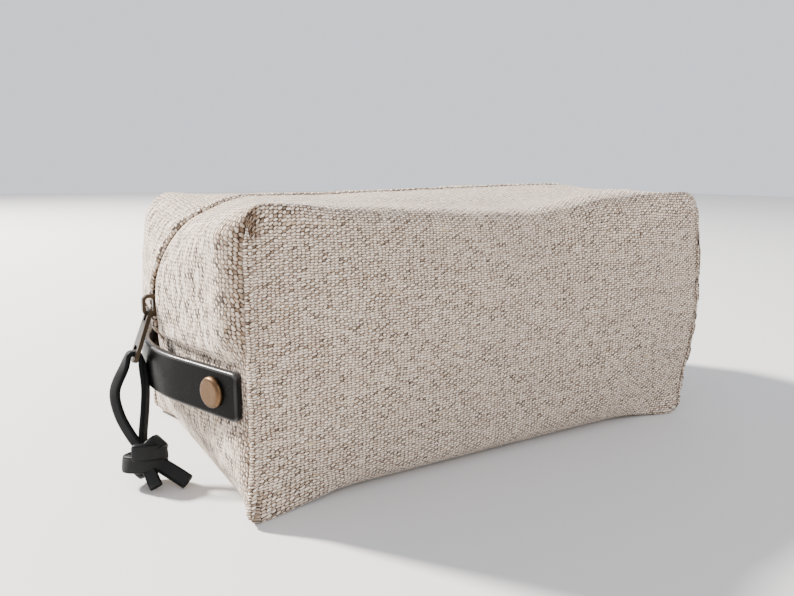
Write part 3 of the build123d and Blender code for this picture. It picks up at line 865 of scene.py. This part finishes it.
def leather(name, color, edge, burnish_and_highlight_edge, rough, grain_scale, shine):
    """Finished leather: pebbled grain, worn lighter and shinier where it bends, the lighter colour being a
    painted highlight as well as burnished wear.
    """
    g = Graph(name)
    coords = g.object_coords()
    voronoi = g.tree.nodes.new("ShaderNodeTexVoronoi")
    voronoi.feature = "DISTANCE_TO_EDGE"
    g.put(voronoi.inputs["Vector"], coords)
    voronoi.inputs["Scale"].default_value = grain_scale
    pebble = g.math("MINIMUM", g.times(voronoi.outputs["Distance"], 4.0), 1.0)
    cloud = g.noise(coords, 180.0, 4.0, 0.6)
    worn = g.wear(0.512, 16.0)
    tone = g.mix(g.times(cloud, 0.9), color, edge)
    # painted highlight along the sharp bevels, over a little burnished wear
    tone = g.mix(worn, tone, burnish_and_highlight_edge)
    relief = g.math("ADD", g.times(pebble, 0.5), g.noise(coords, 900.0, 3.0))
    uneven_rough = g.math("ADD", rough, g.around(cloud, 0.5, 0.25))
    glint = g.plus(LEATHER_GLINT, worn, shine)
    return g.finish(tone, uneven_rough, g.bump(relief, 0.05 * MM, 0.5), specular=glint)


def antique(name, dark, bright, rough):
    """Antiqued brass: dark in the hollows, rubbed bright on the edges."""
    g = Graph(name)
    coords = g.object_coords()
    cloud = g.noise(coords, 420.0, 5.0, 0.65)
    worn = g.wear(0.50, 9.0)
    rubbed = g.math("ADD", g.times(cloud, 0.7), g.times(worn, 0.7), clamp=True)
    color = g.mix(rubbed, dark, bright)
    roughness = g.math("SUBTRACT", rough + 0.12, g.times(rubbed, 0.2))
    scratch = g.noise(coords, 1500.0, 4.0, 0.7)
    return g.finish(color, roughness, g.bump(scratch, 0.05 * MM, 0.5), metal=1.0)


def plain(name, color, rough, scale, amount):
    """A matt material with a fine mottle."""
    g = Graph(name)
    fine = g.noise(g.object_coords(), scale, 4.0, 0.6)
    tone = g.mix(g.times(fine, amount), color, tuple(c * 0.6 for c in color))
    return g.finish(tone, rough, g.bump(fine, 0.1 * MM, 0.6))


CLOTH = woven(
    "heavy_weave",
    pitch=(1.43, 0.88),
    gap=(0.062, 0.041, 0.028),
    shade=(0.55, 0.41, 0.30),
    light=(1.0, 0.885, 0.755),
    slub=(0.66, 0.50, 0.30),
    depth=0.5,
)
LINING = woven(
    "fine_weave",
    pitch=(0.6, 0.5),
    gap=(0.16, 0.13, 0.10),
    shade=(0.36, 0.31, 0.25),
    light=(0.50, 0.45, 0.37),
    slub=(0.40, 0.33, 0.22),
    depth=0.15,
    slant=0.0,
)
FELT = plain("felt", (0.62, 0.60, 0.55), 0.95, 700.0, 0.5)
TAPE = plain("tape", (0.075, 0.045, 0.028), 0.85, 900.0, 0.6)
TEETH = antique("teeth_metal", (0.10, 0.065, 0.035), (0.42, 0.30, 0.15), 0.42)
BRASS = antique("antique_brass", (0.010, 0.0075, 0.0055), (0.045, 0.033, 0.022), 0.46)
RIVET = antique("rivet_brass", (0.055, 0.030, 0.015), (0.20, 0.118, 0.062), 0.34)
STRAP = leather(
    "strap_leather",
    color=(0.001, 0.001, 0.0011),
    edge=(0.002, 0.0019, 0.002),
    burnish_and_highlight_edge=(0.05, 0.049, 0.05),
    rough=0.30,
    grain_scale=1500.0,
    shine=0.6,
)
LACE = leather(
    "lace_leather",
    color=(0.0008, 0.0009, 0.0009),
    edge=(0.003, 0.0034, 0.0034),
    burnish_and_highlight_edge=(0.012, 0.013, 0.013),
    rough=0.45,
    grain_scale=2600.0,
    shine=0.1,
)
SUEDE = plain("suede", (0.007, 0.0078, 0.0078), 0.95, 1600.0, 0.7)
FLOOR_PAINT = plain("floor_paint", (0.66, 0.651, 0.638), 0.7, 60.0, 0.03)

# ---- cloth pieces

SIDES = ((-1, "front"), (1, "rear"))
# mesh name, pieces it stands for, slot, depth below the outer face, half gap at the zip,
# thickness, material
CLOTH_LAYERS = (
    ("outer_cloth_{}", ("outer_{}_panel", "outer_{}_lip"), "outer_cloth", 0.0, SLIT_HALF, 1.25, CLOTH),
    ("interlining_{}_felt", ("interlining_{}", "interlining_{}_lip"), "interlining", 2.0, 15.0, 0.9, FELT),
    ("lining_{}_cloth", ("lining_{}", "lining_{}_lip"), "lining", 5.0, 10.5, 0.4, LINING),
)

for side, word in SIDES:
    for name, pieces, slot, inset, slit, thick, material in CLOTH_LAYERS:
        skin = half_skin(name.format(word), side, inset, slit)
        thicken(skin, thick)
        if material is CLOTH:
            add_welts(skin, side)
        skin.data.materials.append(material)
        follow_lip(skin)
        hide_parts(*(piece.format(word) for piece in pieces))


# ---- zip chain

CHAIN_DEPTH = 4.9
CHAIN_RADIUS = CORNER_RADIUS - CHAIN_DEPTH
CHAIN_X = SEAM_HALF + SWELL - CHAIN_DEPTH
ARC_X = CHAIN_X - CHAIN_RADIUS
ARC_Z = HEIGHT - CHAIN_DEPTH - CHAIN_RADIUS
ARC_LENGTH = CHAIN_RADIUS * math.pi / 2
CHAIN_HALF = ARC_X + ARC_LENGTH + ARC_Z - END_SEAM_Z - 1
CLOTH_STRETCH = 1.03  # the cloth runs this much longer than the chain under it

# distance from the zip's middle and rise towards the cloth, across a tape
TAPE_PROFILE = ((3.5, 0), (5.0, 0), (6.4, 0), (8.0, 0.8), (9.6, 1.6), (12, 1.6), (14, 1.6))
TAPE_THICK = 0.55
TAPE_STEPS = 220

# distance from the zip's middle and half length along it, from a tooth's head to its root
TOOTH_OUTLINE = ((-0.55, 0.42), (0.25, 0.5), (0.9, 0.38), (1.6, 0.5), (3.5, 0.5))
TOOTH_HALF_HEIGHT = 1.1
TOOTH_PITCH = 2.6
FIRST_TOOTH = 11.0
LAST_TOOTH = 6.0
TOOTH_LIP_Y = 2


def chain_frame(s):
    """Point and outward direction at s along the chain, 0 in the top's middle."""
    hand = 1 if s >= 0 else -1
    a = abs(s)
    if a <= ARC_X:
        return Vector((s, 0, HEIGHT - CHAIN_DEPTH)), Vector((0, 0, 1))
    if a <= ARC_X + ARC_LENGTH:
        angle = (a - ARC_X) / CHAIN_RADIUS
        out = Vector((hand * math.sin(angle), 0, math.cos(angle)))
        return Vector((hand * ARC_X, 0, ARC_Z)) + out * CHAIN_RADIUS, out
    return Vector((hand * CHAIN_X, 0, ARC_Z - (a - ARC_X - ARC_LENGTH))), Vector((hand, 0, 0))


def chain_weight(s, y):
    return lip_weight(s * CLOTH_STRETCH, y, HEIGHT)


def zip_tape(name, side):
    """One tape, stepped up towards the cloth it is sewn to."""
    mesh = bmesh.new()
    weight = mesh.verts.layers.float.new("lip")
    rows = []
    for i in range(TAPE_STEPS + 1):
        s = -CHAIN_HALF + 2 * CHAIN_HALF * i / TAPE_STEPS
        point, out = chain_frame(s)
        row = []
        for y, rise in TAPE_PROFILE:
            vert = mesh.verts.new((point + out * rise + Vector((0, side * y, 0))) * MM)
            vert[weight] = chain_weight(s, y)
            row.append(vert)
        rows.append(row)
    for a, b in zip(rows, rows[1:]):
        for j in range(len(TAPE_PROFILE) - 1):
            corners = (a[j], b[j], b[j + 1], a[j + 1])
            mesh.faces.new(corners if side > 0 else corners[::-1]).smooth = True
    obj = new_mesh_object(name, mesh, TAPE)
    thicken(obj, TAPE_THICK)
    return obj


def zip_teeth(name, side):
    """Moulded teeth, each with a head, a waist and a clamped root."""
    mesh = bmesh.new()
    weight = mesh.verts.layers.float.new("lip")
    s = -CHAIN_HALF + (FIRST_TOOTH if side < 0 else FIRST_TOOTH + TOOTH_PITCH / 2)
    while s < CHAIN_HALF - LAST_TOOTH:
        point, out = chain_frame(s)
        along = Vector((0, 1, 0)).cross(out)
        loops = []
        for y, half in TOOTH_OUTLINE:
            loop = []
            for across, up in ((-1, -1), (1, -1), (1, 1), (-1, 1)):
                place = point + along * across * half + out * up * TOOTH_HALF_HEIGHT
                vert = mesh.verts.new((place + Vector((0, side * y, 0))) * MM)
                vert[weight] = chain_weight(s, TOOTH_LIP_Y)
                loop.append(vert)
            loops.append(loop)
        for a, b in zip(loops, loops[1:]):
            join_loops(mesh, a, b, smooth=False)
        mesh.faces.new(loops[0][::-1])
        mesh.faces.new(loops[-1])
        s += TOOTH_PITCH
    bmesh.ops.recalc_face_normals(mesh, faces=mesh.faces)
    return new_mesh_object(name, mesh, TEETH)


for side, word in SIDES:
    tape = zip_tape(f"zip_tape_{word}", side)
    follow_lip(tape)
    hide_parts(f"{word}_tape_ends", f"{word}_tape_top")
    row = zip_teeth(f"zip_teeth_{word}", side)
    follow_lip(row)
    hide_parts(f"{word}_teeth_left", f"{word}_teeth_top", f"{word}_teeth_right")

# ---- straps

STRAP_HALF_WIDTH = 8.0
STRAP_THICK = 2.8
STRAP_BEVEL = 0.7
STRAP_END_X = 105.4
STRAP_SLOPE = 0.36
STRAP_LOOP = 75.0
STRAP_END_Y = 55.0
STRAP_WAVE = 0.25
SLOPE_STEP = 0.1
TIP_STATIONS = (0.0, 0.15, 0.4, 0.8, 1.3, 1.8)  # distances in from a strap's tip
TIP_LENGTH = 2.6
MIDDLE_STATIONS = 92
TIP_CORNER = 1.8
TIP_BEVEL = 0.8


def strap_line(y):
    """Outer face of the strap: straight runs joined by a round loop."""
    tangent = STRAP_LOOP * math.sin(math.atan(STRAP_SLOPE))
    peak = STRAP_END_X + STRAP_SLOPE * STRAP_END_Y
    if abs(y) >= tangent:
        return peak - STRAP_SLOPE * abs(y)
    centre = peak - STRAP_LOOP * math.hypot(1, STRAP_SLOPE)
    return centre + math.sqrt(STRAP_LOOP**2 - y * y)


def strap_profile():
    """The strap's section as (across, depth): a slightly crowned face with bevelled edges."""
    half = STRAP_HALF_WIDTH
    flat = half - STRAP_BEVEL
    turn = STRAP_BEVEL * 0.3
    outer = [
        (half, -STRAP_THICK + STRAP_BEVEL),
        (half, -STRAP_BEVEL),
        (half - turn, -turn),
        (flat, 0),
        (flat - 0.5, 0.01),
        (flat - 1.0, 0.02),
        (half * 0.5, 0.05),
    ]
    inner = [(half - turn, -STRAP_THICK + turn), (flat, -STRAP_THICK)]
    outer_mirrored = [(-across, depth) for across, depth in outer]
    inner_mirrored = [(-across, depth) for across, depth in reversed(inner)]
    return outer_mirrored + [(0, 0.07)] + outer[::-1] + inner + [(0, -STRAP_THICK)] + inner_mirrored


def strap_piece(name, end):
    """One strap, bent round its end of the bag, with rounded tips."""
    mesh = bmesh.new()
    profile = strap_profile()
    half_thick = STRAP_THICK / 2
    middle = np.linspace(-STRAP_END_Y + TIP_LENGTH, STRAP_END_Y - TIP_LENGTH, MIDDLE_STATIONS)
    ys = [-STRAP_END_Y + t for t in TIP_STATIONS] + list(middle)
    ys += [STRAP_END_Y - t for t in reversed(TIP_STATIONS)]
    loops = []
    for y in ys:
        x = strap_line(y)
        slope = (strap_line(y + SLOPE_STEP) - strap_line(y - SLOPE_STEP)) / (2 * SLOPE_STEP)
        normal = Vector((1, -slope, 0)).normalized()
        wave = STRAP_WAVE * noise.noise(Vector((y / 18, end * 4, 0)))
        tip = STRAP_END_Y - abs(y)
        narrower = 1 - curl(TIP_CORNER, max(TIP_CORNER - tip, 0)) / STRAP_HALF_WIDTH
        thinner = 1 - curl(TIP_BEVEL, max(TIP_BEVEL - tip, 0)) / half_thick
        loop = []
        for across, depth in profile:
            depth = -half_thick + (depth + half_thick) * thinner
            p = Vector((x, y, STRAP_Z + across * narrower + wave)) + normal * depth
            loop.append(mesh.verts.new(Vector((end * p.x, p.y, p.z)) * MM))
        loops.append(loop)
    for a, b in zip(loops, loops[1:]):
        join_loops(mesh, a, b)
    for loop in (loops[0], loops[-1]):
        mesh.faces.new(loop)
    bmesh.ops.recalc_face_normals(mesh, faces=mesh.faces)
    return new_mesh_object(name, mesh, STRAP)


for end, word in ((-1, "left"), (1, "right")):
    band = strap_piece(f"{word}_strap_leather", end)
    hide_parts(f"{word}_strap")
    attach(band, "bag")

# ---- lace and knot

# the lace runs up one side, over the tab's end bar and down the other side
BAR_X = -124.78
BAR_Z = 42.2
STRAND_UP = (
    (-126.6, -10.5, 13.0),
    (-128.9, -8, 17),
    (-131.6, -4.5, 24),
    (-132.2, -2, 32),
    (BAR_X - 3.4, -0.2, 40),
)
OVER_BAR = (
    (BAR_X - 1.7, 0, BAR_Z + 1.9),
    (BAR_X, 0, BAR_Z + 2.3),
    (BAR_X + 1.7, 0, BAR_Z + 1.9),
)
STRAND_DOWN = (
    (BAR_X + 2.7, -0.2, 40),
    (-121.8, -2.2, 32.5),
    (-122.9, -4.6, 24.5),
    (-124.6, -8, 17.5),
    (-125.4, -10.5, 13),
)
UP_FACE = (-0.75, -0.7, 0.1)
BAR_FACES = ((-0.9, 0, 0.6), (0, 0, 1), (0.9, 0, 0.6))
DOWN_FACE = (0.75, -0.7, 0.1)
KNOT = Vector((-125.4, -13.0, 9.6))
WRAP_STATIONS = 40
WRAP_TURNS = 1.5
WRAP_START = -0.6
WRAP_REACH = (6.2, 4.4)
WRAP_FOOT = -3.6
WRAP_CLIMB = 6.4
WRAP_SECTION = (6.2, 3.0)
TUCK_STATIONS = 32
TUCK_TURNS = 1.05
TUCK_START = 1.2
TUCK_REACH = (4.2, 3.2, 5.8)
TUCK_LEAN = 0.7
TUCK_SECTION = (5.6, 3.0)
# path from the knot's middle
SHORT_TAIL = ((0, 0, -1), (0.4, -5.0, -3.4), (0.8, -8.5, -5.8), (1.2, -10.5, -7.2))
LONG_TAIL = ((1, 0, 0), (5.8, -4.6, -3.4), (9.6, -8.6, -6.0), (11.8, -11.2, -7.6))
# path, direction of the broad face, width and thickness
TAILS = (
    (SHORT_TAIL, (-0.4, -0.5, 0.9), 4.6, 2.3),
    (LONG_TAIL, (-0.5, -0.5, 0.9), 5.4, 2.6),
)
LACE_WIDTH = 4.0
LACE_THICK = 2.0
LACE_BEVEL = 0.45


def lace_points(controls, steps):
    """Points along a smooth curve through the control points."""
    pts = [Vector(c) for c in controls]
    pts = [pts[0] * 2 - pts[1]] + pts + [pts[-1] * 2 - pts[-2]]
    out = []
    for i in range(1, len(pts) - 2):
        p0, p1, p2, p3 = pts[i - 1 : i + 3]
        for k in range(steps):
            t = k / steps
            linear = (p2 - p0) * t
            square = (2 * p0 - 5 * p1 + 4 * p2 - p3) * t * t
            cubic = (3 * p1 - p0 - 3 * p2 + p3) * t**3
            out.append(0.5 * (2 * p1 + linear + square + cubic))
    out.append(pts[-2])
    return out


def lace_sweep(mesh, points, face_dirs, width=LACE_WIDTH, thick=LACE_THICK):
    """Sweeps the lace's flat section along points, its broad face turned to face_dirs."""
    w, h, e = width / 2, thick / 2, LACE_BEVEL
    profile = [
        (-w, -h + e), (-w, h - e), (-w + e, h), (0, h), (w - e, h),
        (w, h - e), (w, -h + e), (w - e, -h), (0, -h), (-w + e, -h),
    ]
    loops = []
    last = len(points) - 1
    for i, p in enumerate(points):
        tangent = (points[min(i + 1, last)] - points[max(i - 1, 0)]).normalized()
        share = i / last * (len(face_dirs) - 1)
        k = min(int(share), len(face_dirs) - 2)
        face = Vector(face_dirs[k]).lerp(Vector(face_dirs[k + 1]), share - k)
        across = tangent.cross(face).normalized()
        up = across.cross(tangent).normalized()
        loops.append([mesh.verts.new((p + across * a + up * b) * MM) for a, b in profile])
    for a, b in zip(loops, loops[1:]):
        faces = join_loops(mesh, a, b)
        # the broad outer face is the lace's suede side
        faces[2].material_index = 1
        faces[3].material_index = 1
    mesh.faces.new(loops[0])
    mesh.faces.new(loops[-1][::-1])


def add_knot(mesh):
    """The knot: one and a half wraps round the doubled lace, with a second turn tucked through."""
    wrap = []
    faces = []
    for i in range(WRAP_STATIONS):
        share = i / (WRAP_STATIONS - 1)
        a = share * math.tau * WRAP_TURNS + WRAP_START
        reach = WRAP_REACH[0] + 0.6 * math.sin(a * 2)
        lift = WRAP_FOOT + share * WRAP_CLIMB + 1.4 * math.sin(a)
        wrap.append(KNOT + Vector((math.cos(a) * reach, -math.sin(a) * WRAP_REACH[1], lift)))
        faces.append((math.cos(a), -math.sin(a), 0.1))
    lace_sweep(mesh, wrap, faces, *WRAP_SECTION)
    tuck = []
    faces = []
    for i in range(TUCK_STATIONS):
        a = i / (TUCK_STATIONS - 1) * math.tau * TUCK_TURNS + TUCK_START
        rise = math.sin(a + TUCK_LEAN)
        x = 1.2 + math.cos(a) * TUCK_REACH[0]
        tuck.append(KNOT + Vector((x, -math.sin(a) * TUCK_REACH[1], rise * TUCK_REACH[2])))
        faces.append((math.cos(a) * 0.4, -math.sin(a), rise))
    lace_sweep(mesh, tuck, faces, *TUCK_SECTION)


def cord_piece():
    """The doubled lace with its knot and two cut tails."""
    mesh = bmesh.new()
    points = lace_points(STRAND_UP + OVER_BAR + STRAND_DOWN, 8)
    lace_sweep(mesh, points, (UP_FACE,) * 4 + BAR_FACES + (DOWN_FACE,) * 4)
    add_knot(mesh)
    for path, face, width, thick in TAILS:
        points = lace_points([KNOT + Vector(c) for c in path], 6)
        lace_sweep(mesh, points, [face] * 3, width, thick)
    bmesh.ops.recalc_face_normals(mesh, faces=mesh.faces)
    obj = new_mesh_object("knotted_lace", mesh, LACE)
    obj.data.materials.append(SUEDE)
    modifier = obj.modifiers.new("soft", "SUBSURF")
    modifier.levels = 1
    modifier.render_levels = 1
    bake(obj)
    return obj


lace = cord_piece()
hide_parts("pull_cord")
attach(lace, "cord")

# ---- metal parts that stay as built

METAL_NODES = (
    (BRASS, ("slider_body", "slider_crown", "pull_tab", "top_stops", "bottom_stop")),
    (RIVET, ("rivet_fronts", "rivet_backs")),
)

for metal, nodes in METAL_NODES:
    for node in nodes:
        slots = bpy.data.objects[node].data.materials
        for index in range(len(slots)):
            slots[index] = metal

# ---- stage, light and camera, in metres

FLOOR_HALF = 3.0
SKY = (0.85, 0.875, 0.95, 1)
SKY_STRENGTH = 1.20
AIM = Vector((0, 0, 0.05))
# place, diameter, power and colour
KEY_LIGHT = ((-1.08, 1.36, 1.35), 0.22, 245.0, (1.0, 0.955, 0.90))
FILL_LIGHT = ((0.4, -1.6, 0.9), 1.4, 11.5, (1.0, 0.97, 0.94))

CAMERA_PLACE = Vector((-0.1690, -0.2542, 0.1103))
CAMERA_YAW = math.radians(31.43)
CAMERA_PITCH = math.radians(10.58)
CAMERA_ROLL = math.radians(0.42)
SENSOR_WIDTH = 36.0
LENS = 31.19395
NEAREST = 0.01

floor_mesh = bmesh.new()
bmesh.ops.create_grid(floor_mesh, x_segments=1, y_segments=1, size=FLOOR_HALF)
floor_obj = new_mesh_object("floor", floor_mesh, FLOOR_PAINT)

world = bpy.data.worlds.new("studio")
bpy.context.scene.world = world
world.use_nodes = True
background = world.node_tree.nodes["Background"]
background.inputs["Color"].default_value = SKY
background.inputs["Strength"].default_value = SKY_STRENGTH


def area_light(name, place, size, power, color):
    """A round soft light, turned to the bag."""
    light = bpy.data.lights.new(name, "AREA")
    light.shape = "DISK"
    light.size = size
    light.energy = power
    light.color = color
    obj = bpy.data.objects.new(name, light)
    bpy.context.scene.collection.objects.link(obj)
    obj.location = place
    obj.rotation_euler = (AIM - Vector(place)).to_track_quat("-Z", "Y").to_euler()


area_light("key", *KEY_LIGHT)
area_light("fill", *FILL_LIGHT)

level = Vector((math.sin(CAMERA_YAW), math.cos(CAMERA_YAW), 0))
forward = level * math.cos(CAMERA_PITCH) - Vector((0, 0, math.sin(CAMERA_PITCH)))
right = forward.cross(Vector((0, 0, 1))).normalized()
up = right.cross(forward)
turned_right = right * math.cos(CAMERA_ROLL) + up * math.sin(CAMERA_ROLL)
turned_up = up * math.cos(CAMERA_ROLL) - right * math.sin(CAMERA_ROLL)
camera_data = bpy.data.cameras.new("camera")
camera_data.sensor_width = SENSOR_WIDTH
camera_data.lens = LENS
camera_data.clip_start = NEAREST
camera = bpy.data.objects.new("camera", camera_data)
bpy.context.scene.collection.objects.link(camera)
turned = Matrix((turned_right, turned_up, -forward)).transposed()
camera.matrix_world = Matrix.Translation(CAMERA_PLACE) @ turned.to_4x4()
bpy.context.scene.camera = camera
